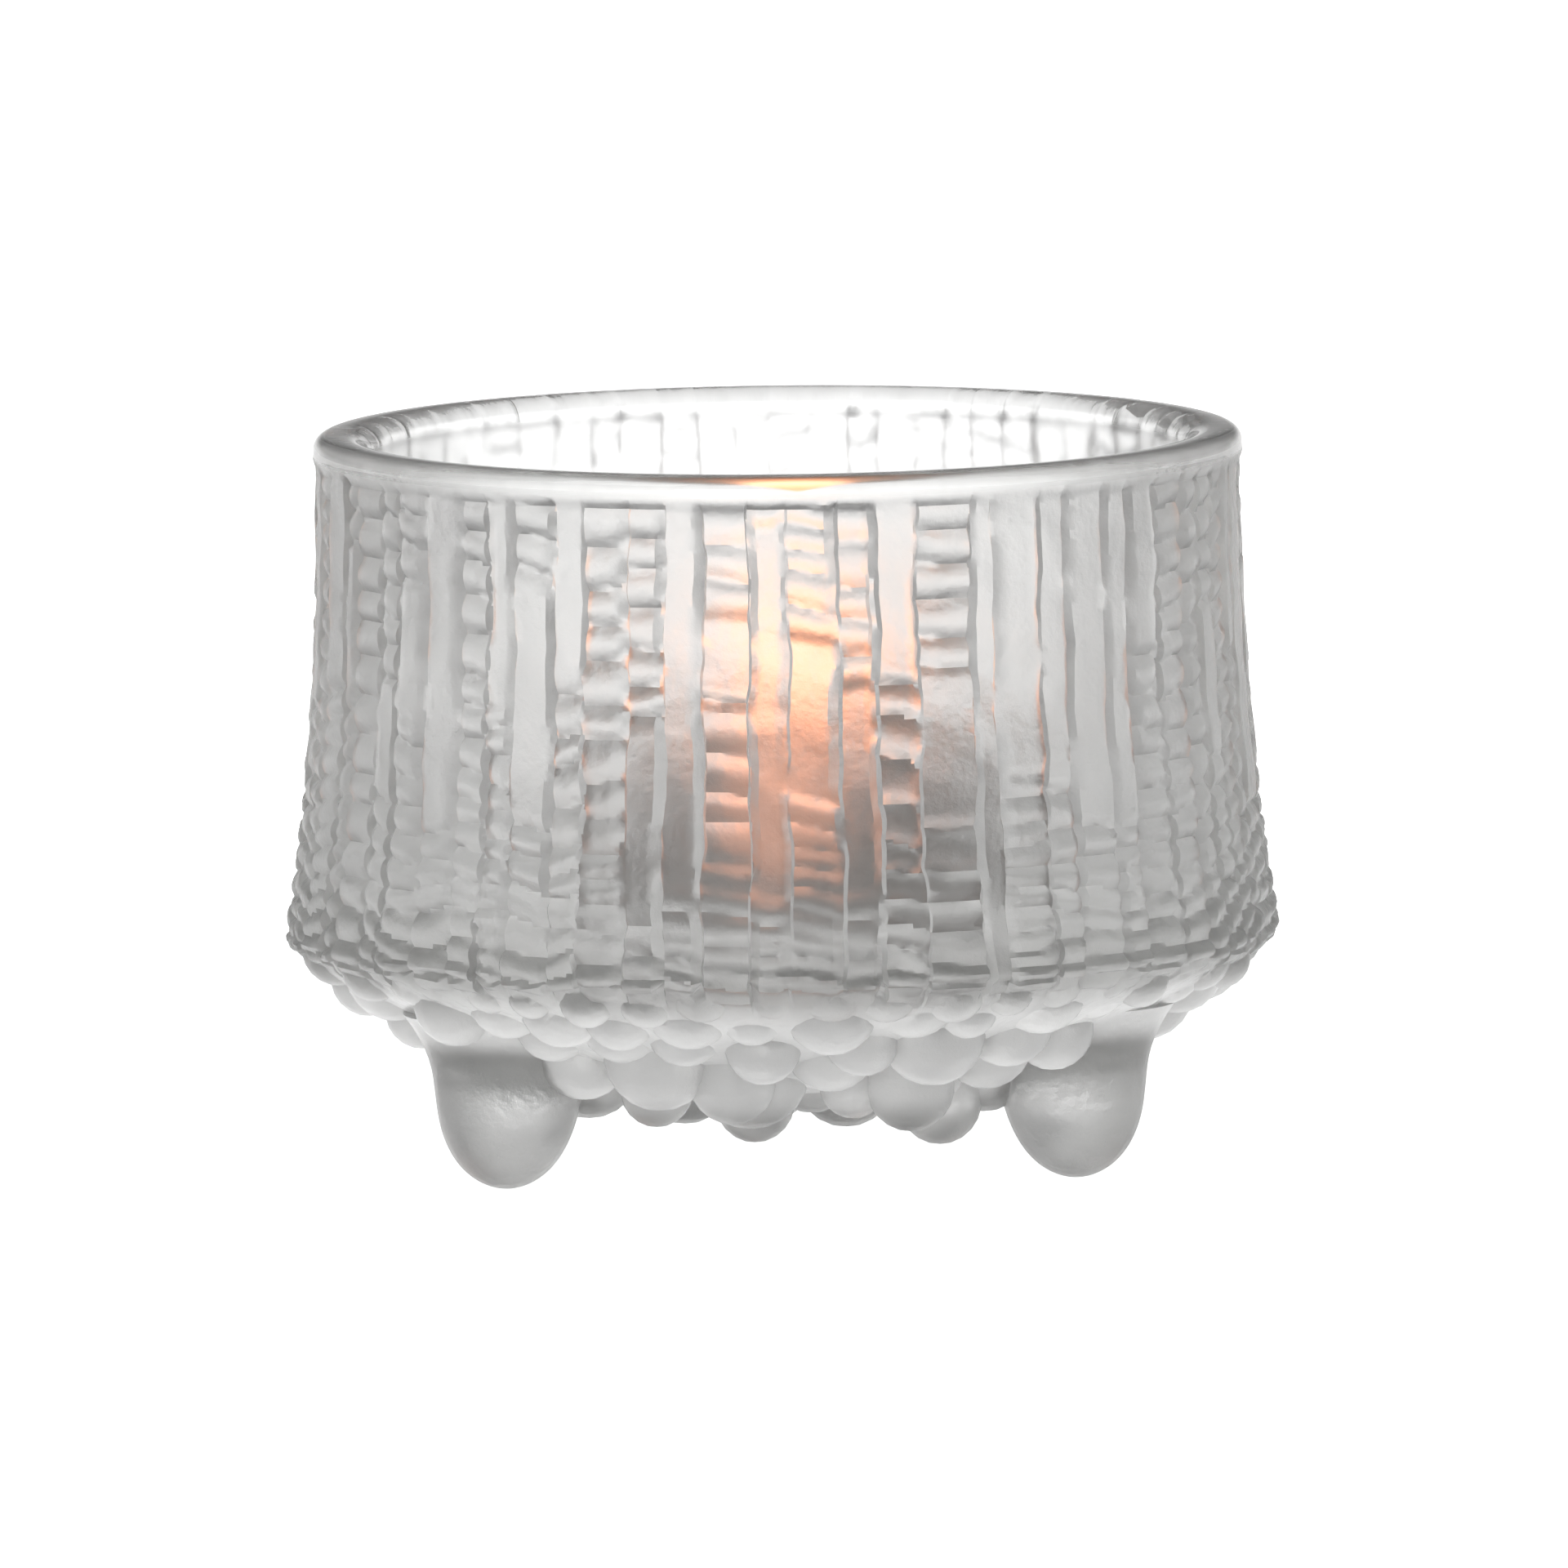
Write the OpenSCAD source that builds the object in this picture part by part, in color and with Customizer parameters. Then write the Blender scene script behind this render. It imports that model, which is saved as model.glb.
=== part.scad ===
// Footed tealight holder of thick moulded glass, with its tealight.
// Millimetres, +Z up. The origin is on the table, under the middle of the holder.

/* [Holder] */
// Height of the lip above the table
holder_h = 65; // [60:1:90]
// Outer diameter just under the lip
rim_d = 81.8; // [78:0.1:90]
// Outer diameter at the belly, the widest line
belly_d = 88.2; // [86:0.1:100]
// Height of the belly above the table
belly_z = 21.3; // [20:0.1:24]
// How late the wall swells towards the belly, 1 being a plain cone
swell = 2.3; // [1.2:0.1:4]

/* [Glass thickness] */
// Wall thickness under the lip
wall_t = 5; // [3:0.1:7]
// Extra wall thickness at the foot of the cavity
wall_gain = 1.4; // [0:0.1:3]
// Height of the cavity floor above the table
floor_z = 19; // [17:0.5:21]
// Radius of the curve between the cavity wall and its floor
floor_fillet = 9; // [5:0.5:11]
// Radius of the lip's outer corner
lip_outer_r = 1.2; // [0.6:0.1:2]
// Radius of the lip's inner corner
lip_inner_r = 2.2; // [0.6:0.1:2.6]

/* [Underside] */
// Height of the middle of the underside above the table
base_z = 7; // [6:0.5:8]
// Radius inside which the underside is level
base_r = 11; // [8:1:16]
// How late the underside rises towards the belly, 1 being a plain cone
base_rise = 1.6; // [1:0.05:2]
// Radius of the round edge under the belly
keel_r = 2.2; // [1.4:0.1:4]
// Radius of one frozen drop
drop_r = 3.7; // [2.6:0.1:4.2]
// Number of rings of drops
drop_rings = 6; // [2:1:7]

/* [Feet] */
// Number of feet
foot_count = 3; // [3:1:5]
// Radius of the circle through the feet
foot_circle_r = 28.3; // [26:0.1:31]
// Angle of the first foot about Z, in degrees
foot_turn = 94.5; // [0:0.5:120]
// Radius of the round tip of a foot
foot_tip_r = 5.9; // [4:0.1:7]
// How fast a foot widens upwards, in degrees
foot_flare = 14; // [4:1:18]
// Radius of the flat ground on the tip
foot_flat_r = 1.8; // [1:0.1:3]

/* [Tealight] */
// Outer diameter of the aluminium cup over its rolled edge
cup_d = 38.4; // [36:0.1:40]
// Height of the cup
cup_h = 16; // [12:0.5:20]
// Thickness of the cup's foil
foil_t = 0.3; // [0.2:0.05:0.5]
// Radius of the rolled edge
roll_r = 0.5; // [0.4:0.05:0.8]
// Height of the raised middle pressed into the cup's base
base_step = 0.8; // [0.4:0.1:1.2]
// Width of the bevel between the cup's base and its wall
cup_bevel = 1; // [0.5:0.1:2]
// How far the cup stands off the middle of the floor
cup_shift_x = 2; // [-5:0.5:5]
// How far the wax stands below the cup's rim
wax_below_rim = 1.9; // [1:0.1:4]
// Depth of the dish in the top of the wax
wax_dish = 0.8; // [0.2:0.1:1.5]
// Gap between the wax and the foil
wax_gap = 0.3; // [0.2:0.05:0.5]

/* [Wick] */
// Diameter of the cotton wick
wick_d = 1.7; // [1.2:0.1:2.4]
// Straight length of wick above the wax
wick_rise = 3; // [2:0.5:6]
// Radius of the wick's curl
curl_r = 4; // [3:0.5:8]
// Angle of the wick's curl, in degrees
curl_angle = 48; // [20:1:80]
// Diameter of the steel disc that holds the wick
clip_d = 14; // [10:0.5:18]
// Height of the neck on that disc
clip_neck_h = 4.5; // [3:0.5:6]
// Sheet thickness of that disc and neck
clip_t = 0.3; // [0.2:0.05:0.5]
// Gap round the wick and the disc in the wax
clip_gap = 0.05; // [0.02:0.01:0.2]

/* [Hidden] */
$fn = 96;

// How far a foot's stem runs up into the glass, and how far under the cavity feet and drops stay.
glass_bite = 1;
// How far a drop's centre lies inside the glass, as a share of its radius.
drop_sink = 0.35;
// Distance between drops in a ring, as a multiple of a drop's radius, so that neighbours meet.
drop_pitch = 1.9;
// How far inside the edge of the level middle the first ring hangs, as a share of a drop's radius.
drop_inset = 0.2;
// Points along each curved stretch of a profile.
curve_steps = 10;
wall_steps = 12;

rim_r = rim_d / 2;
belly_r = belly_d / 2;
cavity_top_r = rim_r - wall_t;
cavity_low_r = cavity_top_r + wall_r(floor_z + floor_fillet) - rim_r - wall_gain;
cavity_mouth_z = holder_h - lip_inner_r;
floor_corner = [cavity_low_r - floor_fillet, floor_z + floor_fillet];

// The cup's wall stands inside its rolled edge, whose inner side is flush with the foil.
roll_c = [cup_d / 2 - roll_r, cup_h - roll_r];
cup_in_r = roll_c.x - roll_r;
cup_out_r = cup_in_r + foil_t;
// How far the foil's thickness shifts the inner corner of a 45-degree bend.
bend = foil_t * tan(22.5);
// The raised middle of the base is this much wider than the steel disc that stands on it.
step_margin = 1;
step_r = clip_d / 2 + step_margin;

// The dish in the wax reaches its depth this far in, as a share of the wax's radius.
dish_edge = 0.4;
wax_r = cup_in_r - wax_gap;
wax_h = cup_h - base_step - foil_t - wax_below_rim;
wax_base_z = floor_z + base_step + foil_t;
wax_top_z = wax_base_z + wax_h;
wick_r = wick_d / 2;
clip_bore_r = wick_r + clip_gap;
clip_neck_r = clip_bore_r + clip_t;
curl_base_z = wax_top_z + wick_rise;

// Outer radius of the wall at height z, from the belly up.
function wall_r(z) =
    rim_r + (belly_r - rim_r) * pow(max(0, (holder_h - z) / (holder_h - belly_z)), swell);

// The keel, the round edge that turns the wall under: its centre, the direction in which the
// underside leaves it, in degrees from straight down, and the point where it does so.
keel_c = [belly_r - keel_r, belly_z];
keel_turn = 48;
keel_end = keel_c + keel_r * [sin(keel_turn), -cos(keel_turn)];

// Height of the underside at radius r: level out to base_r, then rising to the keel.
function under_z(r) =
    base_z + (keel_end.y - base_z) * pow(max(0, (r - base_r) / (keel_end.x - base_r)), base_rise);

// A foot's stem runs up until the underside covers its whole top.
foot_top_r = foot_tip_r + under_z(foot_circle_r) * tan(foot_flare);
foot_top_z = under_z(foot_circle_r + foot_top_r) + glass_bite;

// Points of an arc about centre c, from angle a to angle b.
function arc(c, r, a, b, steps) =
    [for (i = [0 : steps]) c + r * [cos(a + (b - a) * i / steps), sin(a + (b - a) * i / steps)]];

function smooth(t) = t * t * (3 - 2 * t);

module at_tealight() {
    translate([cup_shift_x, 0, 0]) children();
}

// The bowl: one closed outline, up the outside and down the cavity.
module bowl() {
    outer_corner = [rim_r - lip_outer_r, holder_h - lip_outer_r];
    inner_corner = [cavity_top_r + lip_inner_r, cavity_mouth_z];
    rotate_extrude()
        polygon(concat(
            [[0, base_z]],
            [for (i = [0 : curve_steps - 1])
                let (r = base_r + (keel_end.x - base_r) * i / curve_steps) [r, under_z(r)]],
            arc(keel_c, keel_r, keel_turn - 90, 0, curve_steps),
            [for (i = [1 : wall_steps - 1])
                let (z = belly_z + (outer_corner.y - belly_z) * i / wall_steps) [wall_r(z), z]],
            arc(outer_corner, lip_outer_r, 0, 90, curve_steps),
            arc(inner_corner, lip_inner_r, 90, 180, curve_steps),
            arc(floor_corner, floor_fillet, 0, -90, curve_steps),
            [[0, floor_z]]
        ));
}

// A foot: a flat-ended round tip that widens into a stem, running up into the glass of the base.
module foot() {
    tip_z = sqrt(foot_tip_r * foot_tip_r - foot_flat_r * foot_flat_r);
    flat_angle = -acos(foot_flat_r / foot_tip_r);
    stem = arc([0, tip_z], foot_tip_r, flat_angle, -foot_flare, curve_steps);
    start = stem[curve_steps];
    rotate_extrude()
        polygon(concat(
            [[0, 0]],
            stem,
            [[start.x + (foot_top_z - start.y) * tan(foot_flare), foot_top_z], [0, foot_top_z]]
        ));
}

module feet() {
    for (i = [0 : foot_count - 1])
        rotate(foot_turn + i * 360 / foot_count)
            translate([foot_circle_r, 0, 0]) foot();
}

// How near a drop comes to a foot's axis, so that drops leave the feet free.
function nearest_foot(p) =
    min([for (i = [0 : foot_count - 1])
        let (a = foot_turn + i * 360 / foot_count)
        norm(p - foot_circle_r * [cos(a), sin(a)])]);

// Rings of frozen drops that hang on the underside like scales.
module drops() {
    first_r = base_r - drop_r * drop_inset;
    last_r = keel_end.x - drop_r;
    for (ring = [0 : drop_rings - 1]) {
        r = first_r + (last_r - first_r) * ring / (drop_rings - 1);
        count = floor(2 * PI * r / (drop_r * drop_pitch));
        for (i = [0 : count - 1]) {
            a = (i + 0.5 * (ring % 2)) * 360 / count;
            if (nearest_foot(r * [cos(a), sin(a)]) > foot_top_r)
                translate([r * cos(a), r * sin(a), under_z(r) + drop_r * drop_sink])
                    sphere(r = drop_r);
        }
    }
}

// The foot of the cavity, let down into the glass under it: feet and drops end below it.
module cavity_foot() {
    translate([0, 0, -glass_bite])
        rotate_extrude()
            polygon(concat(
                [[0, floor_z]],
                arc(floor_corner, floor_fillet, -90, 0, curve_steps),
                [[0, floor_corner.y]]
            ));
}

module glass_holder() {
    color("gainsboro", 0.5)
        union() {
            bowl();
            difference() {
                union() {
                    feet();
                    drops();
                }
                cavity_foot();
            }
        }
}

// The cup of a tealight: pressed foil with a rolled edge and a raised middle in its base.
module tealight_cup() {
    color("silver")
        at_tealight()
            translate([0, 0, floor_z])
                rotate_extrude() {
                    polygon([
                        [0, base_step], [step_r, base_step], [step_r + base_step, 0],
                        [cup_out_r - cup_bevel, 0], [cup_out_r, cup_bevel], [cup_out_r, roll_c.y],
                        [cup_in_r, roll_c.y], [cup_in_r, cup_bevel + bend],
                        [cup_out_r - cup_bevel - bend, foil_t], [step_r + base_step + bend, foil_t],
                        [step_r + bend, base_step + foil_t], [0, base_step + foil_t]
                    ]);
                    translate(roll_c) circle(r = roll_r);
                }
}

// Outline of the steel disc and its neck, grown by gap, for the clip and for its place in the wax.
module clip_outline(gap) {
    translate([0, -gap]) square([clip_d / 2 + gap, clip_t + 2 * gap]);
    translate([0, -gap]) square([clip_neck_r + gap, clip_neck_h + 2 * gap]);
}

module wax() {
    color("ivory")
        at_tealight()
            translate([0, 0, wax_base_z])
                rotate_extrude()
                    difference() {
                        polygon(concat(
                            [[clip_bore_r, 0], [wax_r, 0], [wax_r, wax_h]],
                            [for (i = [1 : curve_steps])
                                let (t = i / curve_steps)
                                [wax_r + (clip_bore_r - wax_r) * t,
                                    wax_h - wax_dish * smooth(min(1, t / dish_edge))]]
                        ));
                        clip_outline(clip_gap);
                    }
}

// The wick runs up the neck, through the wax, and curls over at its tip.
module wick() {
    color("dimgray")
        at_tealight()
            union() {
                translate([0, 0, wax_base_z + clip_t])
                    cylinder(r = wick_r, h = curl_base_z - wax_base_z - clip_t);
                translate([-curl_r, 0, curl_base_z])
                    rotate([90, 0, 0])
                        rotate_extrude(angle = curl_angle)
                            translate([curl_r, 0]) circle(r = wick_r);
            }
}

module wick_clip() {
    color("lightsteelblue")
        at_tealight()
            translate([0, 0, wax_base_z])
                difference() {
                    rotate_extrude() clip_outline(0);
                    translate([0, 0, clip_t]) cylinder(r = clip_bore_r, h = clip_neck_h);
                }
}

glass_holder();
tealight_cup();
wax();
wick();
wick_clip();
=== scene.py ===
# %% [markdown]
# # A footed tealight holder in moulded ice glass
#
# The holder is one thick casting of glass: a bowl with a smooth lip, an outer wall pressed with upright
# strips and small bricks like bark or ice, an underside full of frozen drops, and three larger drops as
# feet. A lit tealight stands inside. Each piece drawn here is a surface worked out with numpy, and its main
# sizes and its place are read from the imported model. The wick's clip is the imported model's own.

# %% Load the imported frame
import math
import bmesh
import bpy
import mathutils
import numpy as np
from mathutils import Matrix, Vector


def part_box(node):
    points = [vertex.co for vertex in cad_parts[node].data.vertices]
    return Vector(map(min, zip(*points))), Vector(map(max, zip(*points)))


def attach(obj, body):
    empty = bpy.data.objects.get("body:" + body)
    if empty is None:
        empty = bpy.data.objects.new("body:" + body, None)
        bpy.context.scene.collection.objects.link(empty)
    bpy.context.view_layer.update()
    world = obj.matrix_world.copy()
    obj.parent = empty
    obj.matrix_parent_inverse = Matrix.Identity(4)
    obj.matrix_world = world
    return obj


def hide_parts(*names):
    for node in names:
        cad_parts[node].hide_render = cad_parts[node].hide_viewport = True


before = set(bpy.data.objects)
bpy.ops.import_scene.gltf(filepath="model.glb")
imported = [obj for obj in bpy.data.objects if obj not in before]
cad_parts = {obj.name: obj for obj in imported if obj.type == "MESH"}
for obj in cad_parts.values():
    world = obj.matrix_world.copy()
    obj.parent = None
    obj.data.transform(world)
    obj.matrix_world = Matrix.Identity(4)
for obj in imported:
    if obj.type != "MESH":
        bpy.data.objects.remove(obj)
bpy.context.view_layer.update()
MM = 0.001

# %% [markdown]
# ## The room
#
# Glass shows only what is around it, so the surroundings come first. The usual way to picture glass is
# bright-field light: the glass stands on a white table in front of a white screen, and the room to its
# left and right is darker. A thick edge bends the view sideways into that darker room, and so it is drawn
# with a grey line. The world is therefore bright behind the holder and dim everywhere else.

# %% A helper that makes a node and sets its sockets
def add_node(tree, kind, inputs=None, **settings):
    """Add a node, set its properties, and fill its inputs with values or with another node's output."""
    node = tree.nodes.new(kind)
    for name, value in settings.items():
        setattr(node, name, value)
    for key, value in (inputs or {}).items():
        if isinstance(value, bpy.types.NodeSocket):
            tree.links.new(value, node.inputs[key])
        else:
            node.inputs[key].default_value = value
    return node


def math_node(tree, operation, *values, clamp=False):
    """One Math node; each value is a number or another node's output. Returns its output."""
    node = add_node(tree, "ShaderNodeMath", dict(enumerate(values)), operation=operation)
    node.use_clamp = clamp
    return node.outputs[0]


def ramp_between(tree, value, start, end, low, high):
    """Smooth ramp: low up to start, high from end on."""
    node = add_node(tree, "ShaderNodeMapRange",
                    {"Value": value, "From Min": start, "From Max": end, "To Min": low, "To Max": high},
                    interpolation_type="SMOOTHSTEP")
    return node.outputs["Result"]


# %% The room
SCREEN_LIGHT = 1.0
ROOM_LIGHT = 0.50
CEILING_LIGHT = 0.14
BEHIND_CAMERA = 0.3             # the room behind the camera, as a share of the room's light
BEHIND_EDGE = (-0.6, 0.2)       # y of a view direction, from behind the camera to the room's sides
CEILING_EDGE = (-0.02, 0.16)    # z of a view direction, from the screen up to the ceiling
SCREEN_EDGE = (0.82, 0.985)     # y of a view direction, from the dim room to the middle of the screen

world = bpy.data.worlds.new("studio")
bpy.context.scene.world = world
world.use_nodes = True
sky = world.node_tree
sky.nodes.clear()
direction = add_node(sky, "ShaderNodeTexCoord").outputs["Generated"]
axes = add_node(sky, "ShaderNodeSeparateXYZ", {"Vector": direction})
screen = ramp_between(sky, axes.outputs["Y"], *SCREEN_EDGE, ROOM_LIGHT, SCREEN_LIGHT)
forward = ramp_between(sky, axes.outputs["Y"], *BEHIND_EDGE, BEHIND_CAMERA, 1.0)
screen = math_node(sky, "MULTIPLY", screen, forward)
height_mix = ramp_between(sky, axes.outputs["Z"], *CEILING_EDGE, 0.0, 1.0)
level = add_node(sky, "ShaderNodeMix", {"Factor": height_mix, "A": screen, "B": CEILING_LIGHT})
background = add_node(sky, "ShaderNodeBackground", {"Color": (1, 1, 1, 1), "Strength": level.outputs[0]})
add_node(sky, "ShaderNodeOutputWorld", {"Surface": background.outputs[0]})
print("room light:", SCREEN_LIGHT, "screen,", ROOM_LIGHT, "room,", CEILING_LIGHT, "ceiling")

# %% A mesh from a grid of points
def grid_object(name, points, poles=(False, False), closed_rows=False):
    """A closed skin over a grid of points: rows run along a profile and columns run round it.

    Columns always wrap round. A pole row has all its points in one place: it becomes one point with a
    fan of triangles. With closed_rows the last row joins the first, as on a ring.
    """
    rows, columns, _ = points.shape
    index = np.arange(rows * columns).reshape(rows, columns)
    body = points.reshape(-1, 3)
    first, last = int(poles[0]), rows - int(poles[1])
    lower = index[first:last - (0 if closed_rows else 1)]
    upper = np.roll(index, -1, axis=0)[first:last - (0 if closed_rows else 1)]
    quads = np.stack([lower, np.roll(lower, -1, axis=1), np.roll(upper, -1, axis=1), upper], axis=-1)
    faces = quads.reshape(-1, 4).tolist()
    if poles[0]:
        ring = index[1]
        faces += np.stack([np.full(columns, index[0, 0]), np.roll(ring, -1), ring], axis=-1).tolist()
    if poles[1]:
        ring = index[-2]
        faces += np.stack([np.full(columns, index[-1, 0]), ring, np.roll(ring, -1)], axis=-1).tolist()
    mesh = bpy.data.meshes.new(name)
    mesh.from_pydata((body * MM).tolist(), [], faces)
    obj = bpy.data.objects.new(name, mesh)
    bpy.context.scene.collection.objects.link(obj)
    return obj


def clean_skin(obj, smooth_angle=40):
    """Drop spare points, face outwards, and shade smooth except at creases sharper than the angle."""
    edit = bmesh.new()
    edit.from_mesh(obj.data)
    loose = [v for v in edit.verts if not v.link_faces]
    bmesh.ops.delete(edit, geom=loose, context="VERTS")
    bmesh.ops.recalc_face_normals(edit, faces=edit.faces)
    if edit.calc_volume(signed=True) < 0:
        bmesh.ops.reverse_faces(edit, faces=edit.faces)
    edit.to_mesh(obj.data)
    edit.free()
    obj.data.shade_smooth()
    obj.data.set_sharp_from_angle(angle=math.radians(smooth_angle))
    return obj


def turn(radius, angle, height):
    """Points at a radius and an angle about Z, at a height: the three arrays broadcast together."""
    radius, angle, height = np.broadcast_arrays(radius, angle, height)
    return np.stack([radius * np.cos(angle), radius * np.sin(angle), height], axis=-1)


# %% [markdown]
# ## The outline of the bowl
#
# The bowl could be modelled by pushing a cylinder about, but it is a body of revolution with relief on
# one side only. So it is a grid: each row is one step along the outline, from the middle of the cavity's
# floor, up the inside, over the lip, down the outside and under to the middle of the base.

# %% Driving sizes of the bowl, in millimetres
glass_high = np.array(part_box("glass_holder")[1]) / MM
HOLDER_H = glass_high[2]
BELLY_R = glass_high[0]
BELLY_Z = 21.3
RIM_R = 40.9
SWELL = 2.3
WALL_T = 5.0
WALL_GAIN = 1.4
FLOOR_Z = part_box("tealight_cup")[0][2] / MM
FLOOR_FILLET = 9.0
LIP_OUTER_R = 1.2
LIP_INNER_R = 2.2
BASE_Z = 7.0
BASE_R = 11.0
BASE_RISE = 1.6
KEEL_R = 2.2
KEEL_TURN = math.radians(48)
print("holder", round(HOLDER_H, 2), "mm tall, belly radius", round(BELLY_R, 2), "floor at", round(FLOOR_Z, 2))


def ramp01(value, start, end):
    """Smooth ramp from 0 at start to 1 at end."""
    share = np.clip((value - start) / (end - start), 0, 1)
    return share * share * (3 - 2 * share)


def wall_radius(z):
    """Outer radius at height z: the rim's, growing as a power of the drop below the lip."""
    share = np.clip((HOLDER_H - z) / (HOLDER_H - BELLY_Z), 0, None)
    return RIM_R + (BELLY_R - RIM_R) * share ** SWELL


def arc(centre, radius, start, end, steps):
    """Points of an arc, as rows of (radius, height); angles in degrees."""
    angle = np.radians(np.linspace(start, end, steps))
    return np.stack([centre[0] + radius * np.cos(angle), centre[1] + radius * np.sin(angle)], axis=-1)


KEEL_C = np.array([BELLY_R - KEEL_R, BELLY_Z])
KEEL_END = KEEL_C + KEEL_R * np.array([math.sin(KEEL_TURN), -math.cos(KEEL_TURN)])


def under_height(r):
    """Height of the plain underside at radius r: level to BASE_R, then a power curve up to the keel."""
    share = np.clip((r - BASE_R) / (KEEL_END[0] - BASE_R), 0, 1)
    return BASE_Z + (KEEL_END[1] - BASE_Z) * share ** BASE_RISE


# %% [markdown]
# ## Strips and bricks
#
# The pressed pattern is a row of upright strips. Along its height a strip is either plain or divided into
# small bricks by soft dips, and below the level of the candle nearly every strip is divided. A displaced
# texture could do this, but a strip's edge must be crisp, so the grid's own columns stand on the edges.
# The strips that face the front are listed one by one and the rest are drawn from a seeded generator.

# %% The strips round the wall
rng = np.random.default_rng(65)
STRIP_GAP = 0.4                 # width of the groove between two strips
BRICK_TOP = 62.6                # the smooth band under the lip starts here
# Each strip: its width, the plain stretch (from, to) in height, and the height of its bricks.
FRONT_STRIPS = [
    (2.5, (44.5, 63), 2.3), (3.8, (36, 54), 3.2), (2.6, (47, 63), 3.0), (3.7, (0, 0), 3.2),
    (3.0, (26, 43), 3.0), (3.0, (29, 63), 2.0), (3.9, (45.5, 53), 3.0), (2.9, (28, 61), 2.0),
    (4.2, (36.5, 51), 2.6), (3.0, (28.5, 47), 3.3), (3.4, (47, 63), 3.3), (4.7, (36, 48), 3.0),
    (1.8, (21, 63), 2.6), (4.4, (38, 63), 2.2),
]
FRONT_START = math.radians(-90 - 38.5)


def draw_strip():
    """One strip of the unseen sides, of the same kinds as the front ones."""
    width = rng.uniform(2.3, 4.4)
    pitch = rng.uniform(2.0, 3.4)
    kind = rng.choice(3, p=(0.42, 0.33, 0.25))
    if kind == 0:                                     # plain from the top to part way down
        plain = (rng.uniform(33, 52), 63)
    elif kind == 1:                                   # bricks, a plain stretch, and bricks again
        foot = rng.uniform(31, 46)
        plain = (foot, foot + rng.uniform(7, 16))
    else:                                             # bricks all the way
        plain = (0, 0)
    return width, plain, pitch


front_length = sum(width + STRIP_GAP for width, _, _ in FRONT_STRIPS)
MEAN_R = 41.6
rest_length = 2 * math.pi * MEAN_R - front_length
side_strips = []
while sum(width + STRIP_GAP for width, _, _ in side_strips) < rest_length:
    side_strips.append(draw_strip())
strips = FRONT_STRIPS + side_strips
widths = np.array([width + STRIP_GAP for width, _, _ in strips])
side = np.arange(len(strips)) >= len(FRONT_STRIPS)
widths[side] *= rest_length / widths[side].sum()
strip_start = FRONT_START + np.concatenate([[0], np.cumsum(widths)[:-1]]) / MEAN_R
print(len(strips), "strips, mean width", round(widths.mean(), 2), "mm")

# %% Columns that stand on the strips' edges
# Each groove has one wide, gentle side and one narrow, steep side; which is which is drawn per groove.
count = len(strips)
wide, narrow = rng.uniform(0.7, 1.3, count), rng.uniform(0.18, 0.34, count)
wide_first = rng.random(count) < 0.5
after_groove = np.where(wide_first, wide, narrow) * np.minimum(1, widths / 3.2)
before_groove = np.roll(np.where(wide_first, narrow, wide), -1) * np.minimum(1, widths / 3.2)
face = widths - after_groove - before_groove
strip_x = np.stack([
    np.zeros(count), 0.5 * after_groove, after_groove, after_groove + 0.25 * face, after_groove + 0.5 * face,
    after_groove + 0.75 * face, widths - before_groove, widths - 0.5 * before_groove,
], axis=1)
columns_per_strip = strip_x.shape[1]
column_strip = np.repeat(np.arange(count), columns_per_strip)
column_x = strip_x.ravel()
column_angle = (strip_start[:, None] + strip_x / MEAN_R).ravel()
column_share = 2 * column_x / widths[column_strip] - 1      # -1 and 1 at the strip's two edges
print(len(column_angle), "columns")

# %% The relief of one strip
WALL_ROWS = 100
KEEL_ROWS = 14
GROOVE_D = 1.05
BRICK_D = 0.62
SMOOTH_BAND = 2.3               # height of the polished band under the lip
RELIEF_END = 6.0                # how far below the belly, along the outline, the bricks fade out


def outer_outline():
    """The outside without relief: radius, height and outward direction of each row, lip to underside.

    It runs down the wall, round the keel and a few millimetres along the underside; the last array is
    the distance along it, counted like a height, so that bricks keep their size round the keel.
    """
    z = np.linspace(HOLDER_H - LIP_OUTER_R, BELLY_Z, WALL_ROWS)
    wall = np.stack([wall_radius(z), z], axis=-1)
    keel = arc(KEEL_C, KEEL_R, 0, -90 + math.degrees(KEEL_TURN), 5)[1:]
    r = np.linspace(KEEL_END[0], KEEL_END[0] - RELIEF_END * 0.8, KEEL_ROWS - 3)[1:]
    line = np.concatenate([wall, keel, np.stack([r, under_height(r)], axis=-1)])
    along = np.gradient(line, axis=0)
    normal = np.stack([-along[:, 1], along[:, 0]], axis=-1) / np.linalg.norm(along, axis=1, keepdims=True)
    steps = np.linalg.norm(np.diff(line[WALL_ROWS - 1:], axis=0), axis=1)
    return line, normal, np.concatenate([z, BELLY_Z - np.cumsum(steps)])


outline, outline_normal, wall_z = outer_outline()
groove_depth = GROOVE_D * rng.uniform(0.45, 1.0, size=count) ** 1.5
# The relief is shallower at the back only so that it shows faintly through the mouth of the bowl.
softness = 1 - 0.6 * ramp01(np.sin(strip_start), 0.35, 0.8)
strip_level = rng.uniform(0.0, 0.16, size=count)


def wavy(size, periods, amplitudes):
    """Sums of sines down the wall, one column each, with random phases: periods and amplitudes in mm."""
    phases = rng.uniform(0, 2 * math.pi, (size, len(periods)))
    turns = wall_z[:, None, None] * 2 * math.pi / np.array(periods) + phases
    return np.sin(turns) @ np.array(amplitudes)


RIDGED = range(5, 10)           # the strips in front of the flame, where the bricks end in ridges
RIDGED_DEPTH = 1.3              # share of the usual depth on those strips
DIP_DEPTH = 1.25                # and on all the others
LOW_DEPTH = 0.25                # what is added to that near the belly
LOW_BRICKS = 32                 # height under which it is added
SHORT_FROM = 30                 # how far under the smooth band the bricks get shorter
SHORT_BRICKS = 0.8              # and by what share
PLAIN_FADE = 0.6                # height over which bricks turn into a plain stretch


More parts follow.
